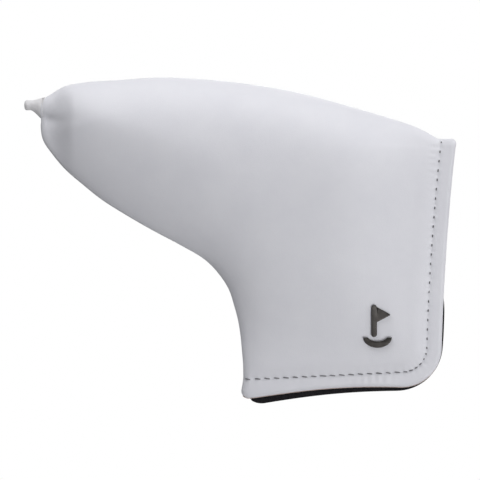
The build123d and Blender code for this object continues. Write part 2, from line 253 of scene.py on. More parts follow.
def blackPlush():
    # short pile: dense fine noise deep in the bump, near-black with slightly lighter tips, soft sheen
    look, tree, shader, place = newMaterial("blackPlush")
    tufts = addNoise(tree, place, 1800.0, 4.0, 0.7)
    tree.links.new(
        addRamp(tree, tufts, [(0.35, (0.004, 0.0035, 0.005)), (0.75, (0.030, 0.027, 0.033))]),
        shader.inputs["Base Color"],
    )
    tree.links.new(addBump(tree, tufts, 0.0009, 0.9), shader.inputs["Normal"])
    setInputs(shader, {
        "Roughness": 0.95, "Specular IOR Level": 0.15, "Sheen Weight": 0.25, "Sheen Roughness": 0.5,
    })
    return look


def threadLook(name, dark, light):
    # the twist runs round the thread: bands on the piece's own UV, a little fuzz in the colour
    look, tree, shader, place = newMaterial(name)
    uv = tree.nodes.new("ShaderNodeUVMap")
    uv.uv_map = "twist"
    bands = tree.nodes.new("ShaderNodeTexWave")
    bands.bands_direction = "DIAGONAL"
    setInputs(bands, {"Scale": 2.2, "Distortion": 0.6})
    tree.links.new(uv.outputs["UV"], bands.inputs["Vector"])
    colour = addRamp(tree, bands.outputs["Fac"], [(0.1, dark), (0.8, light)])
    tree.links.new(colour, shader.inputs["Base Color"])
    normal = addBump(tree, bands.outputs["Fac"], 0.00012, 0.8)
    fuzz = addBump(tree, addNoise(tree, place, 4000.0), 0.00008, 0.4, normal)
    tree.links.new(fuzz, shader.inputs["Normal"])
    setInputs(shader, {"Roughness": 0.7, "Sheen Weight": 0.2})
    return look


def gunmetal():
    # dark plated metal with a faint brushed grain and softly varying gloss
    look, tree, shader, place = newMaterial("gunmetal")
    stretch = tree.nodes.new("ShaderNodeMapping")
    stretch.inputs["Scale"].default_value = (1.0, 1.0, 0.08)
    tree.links.new(place, stretch.inputs["Vector"])
    brushed = addNoise(tree, stretch.outputs["Vector"], 9000.0, 3.0, 0.6)
    cloud = addNoise(tree, place, 500.0, 3.0)
    tree.links.new(
        addRamp(tree, cloud, [(0.3, (0.052, 0.048, 0.045)), (0.7, (0.076, 0.071, 0.067))]),
        shader.inputs["Base Color"],
    )
    tree.links.new(addRange(tree, brushed, 0.34, 0.50), shader.inputs["Roughness"])
    tree.links.new(addBump(tree, brushed, 0.00002, 0.35), shader.inputs["Normal"])
    shader.inputs["Metallic"].default_value = 0.85
    return look


def plainFibre(name, dark, light, scale, depth, rough):
    # a cut edge, foam or a plated disc: mottled colour with a bump of the same noise
    look, tree, shader, place = newMaterial(name)
    mottle = addNoise(tree, place, scale, 4.0, 0.65)
    tree.links.new(addRamp(tree, mottle, [(0.3, dark), (0.7, light)]), shader.inputs["Base Color"])
    tree.links.new(addBump(tree, mottle, depth, 0.6), shader.inputs["Normal"])
    shader.inputs["Roughness"].default_value = rough
    return look


leatherMat = whiteLeather("whiteLeather", leatherLook)
tailMat = whiteLeather("warmLeather", dict(leatherLook, grain=1900.0), (0.97, 0.955, 0.92))
plushMat = blackPlush()
# painted shade: the hem and neck threads are coloured dark grey, the hem's nearly black, to stand for the
# shade in and round their needle holes; the thread itself is light grey
hemThreadShadeMat = threadLook("hemThreadPaintedShade", (0.050, 0.050, 0.056), (0.150, 0.150, 0.165))
neckThreadShadeMat = threadLook("neckThreadPaintedShade", (0.13, 0.13, 0.14), (0.27, 0.27, 0.29))
seamThreadMat = threadLook("paleThread", (0.62, 0.61, 0.62), (0.80, 0.79, 0.80))
metalMat = gunmetal()
rawEdgeMat = plainFibre("rawEdge", (0.50, 0.38, 0.34), (0.72, 0.60, 0.55), 2600.0, 0.0001, 0.8)
foamMat = plainFibre("foam", (0.62, 0.58, 0.46), (0.80, 0.77, 0.66), 1500.0, 0.0004, 0.95)
discMat = plainFibre("platedDisc", (0.42, 0.42, 0.44), (0.60, 0.60, 0.62), 900.0, 0.00002, 0.35)
print("materials made")


# ---- mesh helpers

def putMesh(name, points, faces, material, uvs=None, uvName="twist"):
    # points in millimetres, faces as an array of four corners each
    mesh = bpy.data.meshes.new(name)
    faces = np.asarray(faces, np.int32)
    mesh.vertices.add(len(points))
    mesh.vertices.foreach_set("co", (np.asarray(points, float) * mm).ravel())
    mesh.loops.add(faces.size)
    mesh.loops.foreach_set("vertex_index", faces.ravel())
    mesh.polygons.add(len(faces))
    mesh.polygons.foreach_set("loop_start", np.arange(0, faces.size, faces.shape[1], dtype=np.int32))
    mesh.update(calc_edges=True)
    mesh.polygons.foreach_set("use_smooth", np.ones(len(faces), bool))
    if uvs is not None:
        layer = mesh.uv_layers.new(name=uvName)
        layer.data.foreach_set("uv", np.asarray(uvs, float)[faces.ravel()].ravel())
    mesh.materials.append(material)
    mesh.validate()
    return addThing(name, mesh)


def addThing(name, mesh):
    thing = bpy.data.objects.new(name, mesh)
    bpy.context.scene.collection.objects.link(thing)
    return thing


def gridFaces(rows, columns, closedRows=False, closedColumns=False, flip=False):
    # four corners of every cell of a grid of rows by columns, row after row
    i = np.arange(rows if closedRows else rows - 1)
    j = np.arange(columns if closedColumns else columns - 1)
    a, b = np.meshgrid(i, j, indexing="ij")
    c, d = (a + 1) % rows, (b + 1) % columns
    quads = np.stack([a * columns + b, a * columns + d, c * columns + d, c * columns + b], axis=-1)
    quads = quads.reshape(-1, 4)
    return quads[:, ::-1] if flip else quads


def twoSheets(nu, nv, flip=False):
    # faces of two grids, the second one's points after the first one's, walled all round
    ring = np.r_[
        np.arange(nu) * nv, (nu - 1) * nv + np.arange(1, nv), (np.arange(nu - 1)[::-1]) * nv + nv - 1,
        np.arange(nv - 1)[::-1],
    ][:-1]
    following = np.roll(ring, -1)
    walls = np.stack([ring, following, following + nu * nv, ring + nu * nv], axis=1)
    walls = walls[:, ::-1] if flip else walls
    return np.vstack([gridFaces(nu, nv, flip=flip), gridFaces(nu, nv, flip=not flip) + nu * nv, walls])


def smoothCurve(points, count):
    # a centripetal Catmull-Rom curve through the points, sampled evenly by length
    points = np.asarray(points, float)
    ends = np.vstack([2 * points[0] - points[1], points, 2 * points[-1] - points[-2]])
    pieces = []
    for k in range(len(points) - 1):
        rows = ends[k:k + 4]
        knots = np.concatenate([[0], np.cumsum(np.sqrt(lengths(np.diff(rows, axis=0))))])
        t = np.linspace(knots[1], knots[2], 40, endpoint=(k == len(points) - 2))[:, None]
        for step in (1, 2):
            rows = [between(t, knots[n], knots[n + step], rows[n], rows[n + 1]) for n in range(4 - step)]
        pieces.append(between(t, knots[1], knots[2], rows[0], rows[1]))
    return resample(np.vstack(pieces), count)


def between(t, start, end, first, second):
    return ((end - t) * first + (t - start) * second) / (end - start)


def lengths(rows):
    return np.linalg.norm(rows, axis=1)


def resample(line, count):
    length = distances(line)
    at = np.linspace(0, length[-1], count) if np.isscalar(count) else np.asarray(count) * length[-1]
    return np.stack([np.interp(at, length, line[:, k]) for k in range(line.shape[1])], axis=1)


def distances(line):
    # how far along a line each of its points lies
    return np.concatenate([[0], np.cumsum(lengths(np.diff(line, axis=0)))])


def lineLength(line):
    return float(distances(line)[-1])


def arcCorner(before, at, after, radius, count=24):
    # the round corner of a radius that touches both straight runs at a point
    before, at, after = (np.asarray(p, float) for p in (before, at, after))
    a = (before - at) / np.linalg.norm(before - at)
    b = (after - at) / np.linalg.norm(after - at)
    half = math.acos(float(np.clip(a @ b, -1, 1))) / 2
    centre = at + (a + b) / np.linalg.norm(a + b) * radius / math.sin(half)
    start, end = at + a * radius / math.tan(half), at + b * radius / math.tan(half)
    angle0 = math.atan2(*(start - centre)[::-1])
    angle1 = math.atan2(*(end - centre)[::-1])
    turn = (angle1 - angle0 + math.pi) % (2 * math.pi) - math.pi
    angles = angle0 + turn * np.linspace(0, 1, count)
    return centre + radius * np.stack([np.cos(angles), np.sin(angles)], axis=1)


def nearestOn(line, points):
    # distance from each point to a line, and how far along the line the nearest place is
    way = np.gradient(line, axis=0)
    step = lengths(way)
    way = way / step[:, None]
    along = distances(line)
    far, at = np.empty(len(points)), np.empty(len(points))
    for start in range(0, len(points), 4000):
        some = points[start:start + 4000]
        near = np.argmin(((some[:, None, :] - line[None]) ** 2).sum(2), axis=1)
        gap = some - line[near]
        slide = np.clip((gap * way[near]).sum(1), -0.6 * step[near], 0.6 * step[near])
        far[start:start + 4000] = lengths(gap - slide[:, None] * way[near])
        at[start:start + 4000] = along[near] + slide
    return far, at


def roundRise(share):
    # a quarter circle: steep at 0, level at 1
    return np.sqrt(np.clip(1 - (1 - np.clip(share, 0, 1)) ** 2, 0, 1))


def smoothStep(value, low, high):
    share = np.clip((value - low) / (high - low), 0, 1)
    return share * share * (3 - 2 * share)


# ---- the outline of one half, from the toe and heel of the frame

outline = {
    # share of the length from toe to heel, share of the rise above the heel's top
    "crown": [
        (0.010, 0.56), (0.020, 0.66), (0.034, 0.720), (0.049, 0.785), (0.068, 0.848), (0.112, 0.905),
        (0.197, 0.945), (0.293, 0.985), (0.397, 0.955), (0.511, 0.872), (0.626, 0.735), (0.740, 0.53),
        (0.854, 0.304), (0.912, 0.162), (0.955, 0.0),
    ],
    # share of the length from toe to neck, share of the heel's height
    "under": [
        (0.017, 1.100), (0.020, 1.072), (0.018, 1.050), (0.029, 0.996), (0.078, 0.936), (0.141, 0.877),
        (0.226, 0.818), (0.318, 0.759), (0.436, 0.699), (0.563, 0.640), (0.701, 0.581), (0.824, 0.522),
        (0.897, 0.461), (0.942, 0.403), (0.966, 0.344), (0.986, 0.284), (0.998, 0.225), (1.005, 0.166),
        (1.011, 0.107), (1.012, 0.055), (1.006, 0.022), (0.996, -0.004),
    ],
    # how far the corners lie from the frame's own: in from the heel, above the ground, past the neck
    "topIn": 0.1, "footIn": 6.6, "footUp": 1.8, "neckOut": 0.6,
    # bow of the two open edges, and the corner radii
    "heelBow": 1.5, "neckBow": 2.5, "footRadius": 17.0, "neckRadius": 3.0, "topRadius": 2.0,
    # where the rear lining shows a little past the heel: height, half width and how far
    "peek": (28.0, 13.0, 1.5),
    # the straight line that the neck's stitches follow, at their inset: height at X 0 and slope
    "row": (0.69, 0.0478),
}


def outlineOf(s, neckDrop, footDrop, heelIn=0.0, neckRadius=None, footRadius=None, peek=0.0, bow=None):
    length, rise = heelX - toeX, crownZ - heelZ
    crown = [(toeX + a * length, heelZ + b * rise) for a, b in s["crown"]]
    under = [crown[0]] + [(toeX + a * (neckX - toeX), b * heelZ) for a, b in s["under"]]
    heelTop = np.array([heelX - s["topIn"] - heelIn, heelZ])
    foot = np.array([heelX - s["footIn"] - heelIn, s["footUp"] - footDrop])
    neckFoot = np.array([neckX - s["neckOut"], footZ - neckDrop])
    share = np.linspace(0, 1, 60)[:, None]
    bowed = (4 * share * (1 - share))[:, 0]
    heelSide = heelTop + (foot - heelTop) * share
    heelSide[:, 0] -= s["heelBow"] * bowed ** 0.8
    peekAt = (heelSide[:, 1] - s["peek"][0]) / s["peek"][1]
    heelSide[:, 0] += peek * s["peek"][2] * np.exp(-peekAt ** 4)
    neckSide = foot + (neckFoot - foot) * share
    neckSide[:, 1] += (bow or s["neckBow"]) * bowed ** 1.4
    # each round corner takes the place of the two ends that meet there
    away = footRadius or s["footRadius"]
    heelKeep = lengths(heelSide - foot) > away
    neckKeep = lengths(neckSide - foot) > away
    footArc = arcCorner(heelSide[heelKeep][-1], foot, neckSide[neckKeep][0], away * 0.98)
    neckArc = arcCorner(neckSide[-8], neckFoot, under[-2], neckRadius or s["neckRadius"])
    topArc = arcCorner(crown[-1], heelTop, heelSide[8], s["topRadius"])
    crownLine = np.vstack([smoothCurve(crown, 400), topArc[:12]])
    arcAway = lengths(neckArc - neckFoot) + 0.3
    underKeep = [p for p in under if np.linalg.norm(p - neckFoot) > arcAway[-1]]
    neckKeep &= lengths(neckSide - neckFoot) > arcAway[0]
    underLine = np.vstack([smoothCurve(underKeep, 300), neckArc[::-1][:12]])
    heelLine = np.vstack([topArc[11:], heelSide[heelKeep][2:], footArc[:12]])
    neckLine = np.vstack([neckArc[::-1][11:], neckSide[neckKeep][::-1][:-1], footArc[11:][::-1]])
    rowX = np.linspace(footArc[-1][0] - 5, neckX - 4, 40)
    rowLine = np.stack([rowX, s["row"][0] + s["row"][1] * rowX - footDrop], axis=1)
    return {
        "crown": resample(crownLine, 320), "under": resample(underLine, 280),
        "heel": resample(heelLine, 240), "neck": resample(neckLine, 240),
        "crownEnd": crown[-1],
        "rowNeck": np.vstack([footArc[11:], rowLine]),
    }


frontEdge = outlineOf(outline, 0.0, 0.0)
frontPlushEdge = outlineOf(outline, -0.5, -0.5, heelIn=0.5)
rearEdge = outlineOf(outline, 1.2, 0.3, heelIn=0.7, neckRadius=6.0)
rearPlushEdge = outlineOf(
    outline, 3.3, 1.1, heelIn=0.7, neckRadius=8.0, footRadius=20.0, peek=1.0, bow=2.15,
)


# ---- how thick the stuffed cover is

stuffing = {
    # half thicknesses: at the seam, added over its round, at the flat hem and behind it
    "rim": 1.2, "seamRound": 1.7, "seamRadius": 3.4, "crownReach": 9.5, "seamBlend": 3,
    "slowReach": 14.5, "quickReach": 8.5, "slowX": -95.0, "quickX": -28.0,
    "hem": 4.95, "stack": 6.95, "hemReach": 5.0, "margin": 32.0,
    "neckPuff": 8.0, "pouchPuff": 15.5, "neckLevel": 8.0, "pouchLevel": 106.0,
    "hemLead": 1.5, "roll": 1.6, "stitchInset": 6.3, "pitch": 3.9, "cornerEase": 7.0,
}


def bareThickness(edge, points, s=stuffing):
    # half thickness: the rim, plus (layers + hollow) times a rise from the sewn edges; the layers
    # thin at the open hem, and the hollow grows from the neck up to the pouch
    fromCrown, _ = nearestOn(edge["crownSeam"], points)
    fromUnder, _ = nearestOn(edge["under"], points)
    fromOpen, along = nearestOn(edge["open"], points)
    fromRim, _ = nearestOn(edge["rim"], points)
    fromHeel, _ = nearestOn(edge["heel"], points)
    fromNeck, _ = nearestOn(edge["neck"], points)
    fromTop, _ = nearestOn(edge["crown"], points)
    # the stuffing falls off slowly towards the under seam at the toe, quickly at the neck
    towardsNeck = smoothStep(points[:, 0], s["slowX"], s["quickX"])
    underReach = s["slowReach"] + (s["quickReach"] - s["slowReach"]) * towardsNeck
    blend = s["seamBlend"]
    sewn = np.logaddexp(-fromCrown / s["crownReach"] * blend, -fromUnder / underReach * blend) / -blend
    sewn = 1 - np.exp(-np.maximum(sewn, 0))
    flatHem = 1 - np.exp(-((np.maximum(fromOpen - s["stitchInset"] + s["hemLead"], 0) / s["hemReach"]) ** 2))
    ease = s["cornerEase"]
    inside = np.maximum(np.logaddexp(-fromHeel / ease, -fromNeck / ease) * -ease, 0)
    hollow = 1 - np.exp(-((inside / s["margin"]) ** 3))
    upwards = smoothStep(points[:, 1], s["neckLevel"], s["pouchLevel"])
    puff = s["neckPuff"] + (s["pouchPuff"] - s["neckPuff"]) * upwards
    rise = s["hem"] - s["rim"] - s["seamRound"] + (s["stack"] - s["hem"]) * flatHem + puff * hollow
    nearSeam = np.minimum(fromTop, fromUnder)
    thick = s["rim"] + s["seamRound"] * roundRise(nearSeam / s["seamRadius"]) + rise * sewn
    return thick, {"open": fromOpen, "rim": fromRim, "along": along, "seam": nearSeam, "crown": fromCrown}


def gather(edge):
    # the lines that distances are measured from
    crown = edge["crown"]
    keep = crown[:, 0] < edge["crownEnd"][0] + 0.01
    edge["crownSeam"] = crown[keep]
    edge["open"] = resample(np.vstack([edge["heel"], edge["rowNeck"]]), 480)
    edge["rim"] = resample(np.vstack([edge["heel"], edge["neck"][::-1]]), 480)
    edge["openLength"] = lineLength(edge["open"])
    return edge


for edge in (frontEdge, rearEdge, frontPlushEdge, rearPlushEdge):
    gather(edge)


def coons(edge, u, v):
    # a patch stretched between four sides: the two ruled surfaces added, the bilinear one taken away
    crown, neck = resample(edge["crown"], u), resample(edge["neck"], u)
    under, heel = resample(edge["under"], v), resample(edge["heel"], v)
    uu, vv = u[:, None, None], v[None, :, None]
    across = (1 - vv) * crown[:, None, :] + vv * neck[:, None, :]
    down = (1 - uu) * under[None] + uu * heel[None]
    toe, neckEnd, top, foot = edge["crown"][0], edge["neck"][0], edge["crown"][-1], edge["neck"][-1]
    corners = (1 - uu) * ((1 - vv) * toe + vv * neckEnd) + uu * ((1 - vv) * top + vv * foot)
    return across + down - corners


def inwardNormals(line, towards):
    # unit normals of a side, on the side where the patch lies
    way = np.gradient(line, axis=0)
    way /= lengths(way)[:, None]
    normal = np.stack([-way[:, 1], way[:, 0]], axis=1)
    sign = np.sign((normal * (towards - line)).sum(1))
    return normal * np.where(sign == 0, 1, sign)[:, None]


print("outline and stuffing ready")


# ---- leather, foam and lining of one half

# rows of the grid in three stretches each way, and the shares where the stretches meet
skinGrid = {
    "across": (8, 165, 66), "down": (10, 135, 58), "acrossShares": (0.03, 0.89), "downShares": (0.03, 0.91),
}
hemDetail = {
    "rollEnd": 1.75, "groove": 0.25, "grooveWidth": 0.7, "pillow": 0.25, "pucker": 0.06, "puckerWidth": 1.6,
    "hole": 0.22, "holeWidth": 0.45, "crease": 0.10, "seamPucker": 0.16,
    # creases across the neck's hem: where they start, are full, start to fade and end; middle, reach
    "creaseX": (2, 10, 24, 30), "creaseAt": 3.2, "creaseReach": 2.2,
    # gathers by the crown's seam: middle and reach inwards, reach along the hem, pitch
    "gatherAt": 8.6, "gatherReach": 2.0, "gatherAlong": 15.0, "gatherPitch": 2.7,
    # the dent under the emblem: depth and half sizes
    "dent": 0.35, "dentSize": (6.6, 9.6),
}
toe = {
    # the cone at the tail: start and height of its axis and its slope, half height and half depth
    # there with their growths along the cover
    "start": -120.5, "axis": (119.0, 0.05, -120.0), "high": (4.3, 0.45), "deep": (3.1, 0.42),
    "least": (2.2, 0.25),
    # where the body flattens towards the toe, and where the cone takes over along X and Z
    "flatX": (107.0, 118.0), "flat": 0.42, "coneX": (113.0, 120.0), "coneZ": (110.0, 117.0),
    # the fold under the cone: height at X and slope, widths above and below, depth, and its reach
    "foldAt": (114.6, 0.16, -119.0), "foldWidths": (1.3, 12.0), "fold": 0.7, "foldX": (108.0, 116.0),
    "foldSeam": (0.2, 3.5),
}
markPlace = ((groundLow[0] + groundHigh[0]) / 2, (groundLow[2] + emblemHigh[2]) / 2)


def spaced(counts, shares):
    # shares from 0 to 1, close together near both ends
    a, b = shares
    return np.concatenate([
        np.linspace(0, a, counts[0], endpoint=False), np.linspace(a, b, counts[1], endpoint=False),
        np.linspace(b, 1, counts[2]),
    ])


def waves(points, seed, count, low, high):
    # a sum of sine waves with seeded directions and lengths, between -1 and 1
    rng = np.random.default_rng(seed)
    total = np.zeros(len(points))
    for _ in range(count):
        angle = rng.uniform(0, 2 * math.pi)
        length = rng.uniform(low, high)
        phase = rng.uniform(0, 2 * math.pi)
        way = np.array([math.cos(angle), math.sin(angle)])
        total += np.sin(2 * math.pi * (points @ way) / length + phase)
    return total / count


def stitchSlant(along, edge):
    # 0 on the heel edge, 1 on the neck edge, turning over round the foot
    heelLength = lineLength(edge["heel"])
    return smoothStep(along, heelLength - 8.0, heelLength + 6.0)


def leatherDepth(edge, points, s=stuffing, h=hemDetail):
    # the bare thickness with its hem rolled over, a groove and puckers along the stitches, small
    # creases across the neck's hem, gathers at the crown's seam and the drawn-in toe
    thick, near = bareThickness(edge, points)
    away, along, hemAway = near["open"], near["along"], near["rim"]
    rolled = 0.5 + 0.5 * roundRise(hemAway / s["roll"])
    thick = h["rollEnd"] + (thick - h["rollEnd"]) * rolled
    row = away - s["stitchInset"]
    live = smoothStep(near["crown"], 1.0, 4.0)
    thick = thick - live * h["groove"] * np.exp(-((row / h["grooveWidth"]) ** 2) / 2)
    hemShare = hemAway / np.maximum(hemAway - np.minimum(row, 0), 0.1)
    thick = thick + live * h["pillow"] * np.sin(math.pi * np.clip(hemShare, 0, 1) ** 0.8)
    beat = np.cos(2 * math.pi * along / s["pitch"])
    thick = thick - live * h["pucker"] * beat * np.exp(-((row / h["puckerWidth"]) ** 2) / 2)
    holeGap = (np.mod(along / s["pitch"] + 0.5, 1) - 0.5) * s["pitch"]
    thick = thick - live * h["hole"] * np.exp(-(holeGap ** 2 + row ** 2) / (2 * h["holeWidth"] ** 2))
    # creases across the hem at the neck, of uneven spacing
    neckSide = stitchSlant(along, edge)
    start, full, fading, end = h["creaseX"]
    x = points[:, 0]
    ripple = np.sin(x * 1.9 + 0.8 * np.sin(x * 0.37)) * smoothStep(x, start, full)
    ripple = ripple * (1 - smoothStep(x, fading, end))
    inHem = np.exp(-(((hemAway - h["creaseAt"]) / h["creaseReach"]) ** 2))
    thick = thick + h["crease"] * neckSide * ripple * inHem
    # short gathers inside the first stitches, where the crown's seam ends
    gathered = np.exp(-(((away - h["gatherAt"]) / h["gatherReach"]) ** 2))
    gathered = gathered * np.exp(-((along / h["gatherAlong"]) ** 2))
    thick = thick + h["seamPucker"] * gathered * np.cos(2 * math.pi * along / h["gatherPitch"])
    thick = toeDepth(points, thick, near)
    if edge is frontEdge:
        dent = sum(((points[:, k] - markPlace[k]) / h["dentSize"][k]) ** 2 for k in (0, 1))
        thick = thick - h["dent"] * np.exp(-dent ** 2)
    return np.maximum(thick, 0.9), near


def toeDepth(points, thick, near, t=toe):
    # the body flattens towards the toe and is drawn into a cone that ends at the tail; a fold runs
    # under the cone, steep above and gentle below
    x, z = points[:, 0], points[:, 1]
    seamDepth = stuffing["rim"]
    thick = seamDepth + (thick - seamDepth) * (1 - t["flat"] * smoothStep(-x, *t["flatX"]))
    cone = smoothStep(-x, *t["coneX"]) * smoothStep(z, *t["coneZ"])
    inwards = np.clip(x - t["start"], 0, 20)
    level, slope, levelX = t["axis"]
    across = (z - (level + slope * (x - levelX))) / (t["high"][0] + t["high"][1] * inwards)
    ridge = (t["deep"][0] + t["deep"][1] * inwards) * np.sqrt(np.clip(1 - across ** 2, 0.02, 1))
    ridge = np.maximum(ridge, np.minimum(thick, t["least"][0] + t["least"][1] * inwards))
    thick = thick * (1 - cone) + ridge * cone
    level, slope, levelX = t["foldAt"]
    fold = z - (level - slope * (x - levelX))
    fold = fold / np.where(fold > 0, *t["foldWidths"])
    reach = smoothStep(-x, *t["foldX"]) * smoothStep(near["seam"], *t["foldSeam"])
    return thick - t["fold"] * reach * np.exp(-(fold ** 2))


turnIn = {"seamRows": [(0.30, 0.66), (0.75, 0.30), (1.25, 0.0)], "hemAngles": (25, 50, 75, 90), "hemEnd": 2.6}


def lapped(place, thick):
    # the patch with its four sides turned in: at a seam towards the middle plane, at the hem round a
    # roll and back under. Each turned row is the side moved inwards, at a share of the side's depth
    seamRows = turnIn["seamRows"]
    roll = stuffing["roll"]
    hemRows = [(roll * (1 - math.cos(a)), 1 - math.sin(a)) for a in np.radians(turnIn["hemAngles"])]
    hemRows.append((turnIn["hemEnd"], 0.0))
    nu, nv = thick.shape
    iu = np.r_[np.zeros(3, int), np.arange(nu), np.full(5, nu - 1)]
    iv = np.r_[np.zeros(3, int), np.arange(nv), np.full(5, nv - 1)]
    inset = [np.zeros(len(iu)), np.zeros(len(iv))]
    share = [np.ones(len(iu)), np.ones(len(iv))]
    level = [np.zeros(len(iu)), np.zeros(len(iv))]
    for k, count in ((0, nu), (1, nv)):
        for r, (a, b) in enumerate(seamRows):
            inset[k][2 - r], share[k][2 - r] = a, b
        for r, (a, b) in enumerate(hemRows):
            inset[k][3 + count + r], share[k][3 + count + r] = a, b
        level[k][3 + count:] = hemDetail["rollEnd"]
    p = place[iu][:, iv]
    left = inwardNormals(place[0], place[4])
    right = inwardNormals(place[-1], place[-5])
    top = inwardNormals(place[:, 0], place[:, 4])
    bottom = inwardNormals(place[:, -1], place[:, -5])
    isLeft, isTop = (np.arange(len(iu)) < 3)[:, None, None], (np.arange(len(iv)) < 3)[None, :, None]
    p = p + inset[0][:, None, None] * np.where(isLeft, left[iv][None], right[iv][None])
    p = p + inset[1][None, :, None] * np.where(isTop, top[iu][:, None], bottom[iu][:, None])
    y = thick[iu][:, iv]
    for k, turn in ((0, (slice(None), None)), (1, (None, slice(None)))):
        lv = np.minimum(level[k][turn], y)
        y = lv + (y - lv) * share[k][turn]
    return p, y


def gridPoints(p, y, side):
    return np.stack([p[..., 0], side * y, p[..., 1]], axis=-1).reshape(-1, 3)


def applied(thing, name, kind, **values):
    modifier = thing.modifiers.new(name, kind)
    for key, value in values.items():
        setattr(modifier, key, value)
    bpy.context.view_layer.objects.active = thing
    with bpy.context.temp_override(object=thing, active_object=thing, selected_objects=[thing]):
        bpy.ops.object.modifier_apply(modifier=name)


def splineShares(fine, count):
    # weights of a uniform cubic B-spline with count control values, at each of the fine shares
    t = np.clip(fine, 0, 1) * (count - 1)
    k = np.minimum(np.floor(t).astype(int), count - 2)
    f = t - k
    weights = np.zeros((len(fine), count))
    basis = [(1 - f) ** 3 / 6, (3 * f ** 3 - 6 * f ** 2 + 4) / 6]
    basis += [(-3 * f ** 3 + 3 * f ** 2 + 3 * f + 1) / 6, f ** 3 / 6]
    for shift, value in zip((-1, 0, 1, 2), basis):
        np.add.at(weights, (np.arange(len(fine)), np.clip(k + shift, 0, count - 1)), value)
    return weights


puffing = {
    "grid": (54, 46), "frames": 20, "cap": 3.0, "shrink": 0.955,
    # distances where the cloth goes from held to free: from the hem, from the seam, and towards the toe
    "pinned": 9.0, "free": 16.0, "seamHold": (1.0, 3.5), "toeHold": (108, 116),
    "cloth": {
        "quality": 8, "mass": 0.25, "tension_stiffness": 12.0, "compression_stiffness": 12.0,
        "shear_stiffness": 6.0, "bending_stiffness": 1.2, "uniform_pressure_force": 4.0,
    },
}


def simulatePuff(edge, s):
    # both halves as one closed bag of coarse cloth, blown up a little and held at the hem and seams;
    # gives how far each point of the front grid moves
    nu, nv = s["grid"]
    across, down = np.linspace(0, 1, nu), np.linspace(0, 1, nv)
    place = coons(edge, across, down)
    flat = place.reshape(-1, 2)
    thick, near = leatherDepth(edge, flat)
    frontSide = gridPoints(place, thick.reshape(nu, nv) * s["shrink"], -1)
    points = np.vstack([frontSide, frontSide * np.array([1, -1, 1])])
    bag = putMesh("puffBag", points, twoSheets(nu, nv), leatherMat)
    hold = 1 - smoothStep(near["open"], s["pinned"], s["free"])
    hold = np.maximum(hold, 1 - smoothStep(near["seam"], *s["seamHold"]))
    hold = np.maximum(hold, smoothStep(-flat[:, 0], *s["toeHold"]))
    group = bag.vertex_groups.new(name="held")
    for index, weight in enumerate(np.tile(hold, 2)):
        group.add([index], float(weight), "REPLACE")
    cloth = bag.modifiers.new("cloth", "CLOTH").settings
    for key, value in s["cloth"].items():
        setattr(cloth, key, value)
    cloth.use_pressure = True
    cloth.vertex_group_mass = "held"
    cloth.effector_weights.gravity = 0.0
    scene = bpy.context.scene
    for step in range(1, s["frames"] + 1):
        scene.frame_set(step)
    blown = bag.evaluated_get(bpy.context.evaluated_depsgraph_get()).to_mesh()
    moved = np.empty(len(blown.vertices) * 3)
    blown.vertices.foreach_get("co", moved)
    shift = (moved.reshape(-1, 3) / mm - points)[:nu * nv]
    scene.frame_set(1)
    bpy.data.objects.remove(bag)
    size = lengths(shift)[:, None]
    shift = shift * np.minimum(1, s["cap"] / np.maximum(size, 1e-6))
    print("puffed by up to", round(float(size.max()), 2), "mm, kept to", s["cap"])
    return shift.reshape(nu, nv, 3)


def puffShift(edge, across, down):
    shift = edge["shift"]
    a = splineShares(across, shift.shape[0])
    b = splineShares(down, shift.shape[1])
    return np.einsum("ik,klc,jl->ijc", a, shift, b)


def shrunk(thick, near):
    # the thickness that the simulated puff starts from
    hollow = smoothStep(near["open"], puffing["pinned"], puffing["free"])
    return thick * (1 - (1 - puffing["shrink"]) * hollow)


def makeSkin(name, edge, side):
    # the leather: one sheet from the toe to the hem, 0.8 mm thick, its hem rolled over the foam
    across = spaced(skinGrid["across"], skinGrid["acrossShares"])
    down = spaced(skinGrid["down"], skinGrid["downShares"])
    place = coons(edge, across, down)
    flat = place.reshape(-1, 2)
    thick = shrunk(*leatherDepth(edge, flat))
    p, y = lapped(place, thick.reshape(place.shape[:2]))
    shift = puffShift(edge, across, down)
    iu = np.clip(np.arange(p.shape[0]) - 3, 0, len(across) - 1)
    iv = np.clip(np.arange(p.shape[1]) - 3, 0, len(down) - 1)
    shift = shift[iu][:, iv].reshape(-1, 3) * np.array([1, -side, 1])
    points = gridPoints(p, y, side) + shift
    skin = putMesh(name, points, gridFaces(p.shape[0], p.shape[1], flip=side > 0), leatherMat)
    applied(skin, "thickness", "SOLIDIFY", thickness=0.8 * mm, offset=-1.0)
    return skin


def closedSheet(name, edge, side, across, down, outer, inner, material):
    # two grids a thickness apart, walled all round
    place = coons(edge, across, down)
    nu, nv = len(across), len(down)
    shift = puffShift(edge, across, down).reshape(-1, 3) * np.array([1, -side, 1])
    out = gridPoints(place, outer.reshape(nu, nv), side) + shift
    back = gridPoints(place, inner.reshape(nu, nv), side) + shift
    return putMesh(name, np.vstack([out, back]), twoSheets(nu, nv, flip=side > 0), material)


lining = {
    # rows spread evenly and then close together near the open edge: first share, counts, where they meet
    "across": (0.03, 110, 0.90, 40), "down": (0.03, 90, 0.92, 40),
    # how far the plush stays from the leather, its face from the middle plane, its thickness, its pile
    "inside": 1.2, "face": 0.25, "stack": 7.35, "ease": 0.5, "thick": 1.5, "pile": 0.10,
}
padding = {"from": 0.03, "to": 0.985, "rows": (80, 70), "outside": 1.6, "inside": 5.2, "least": 1.85}


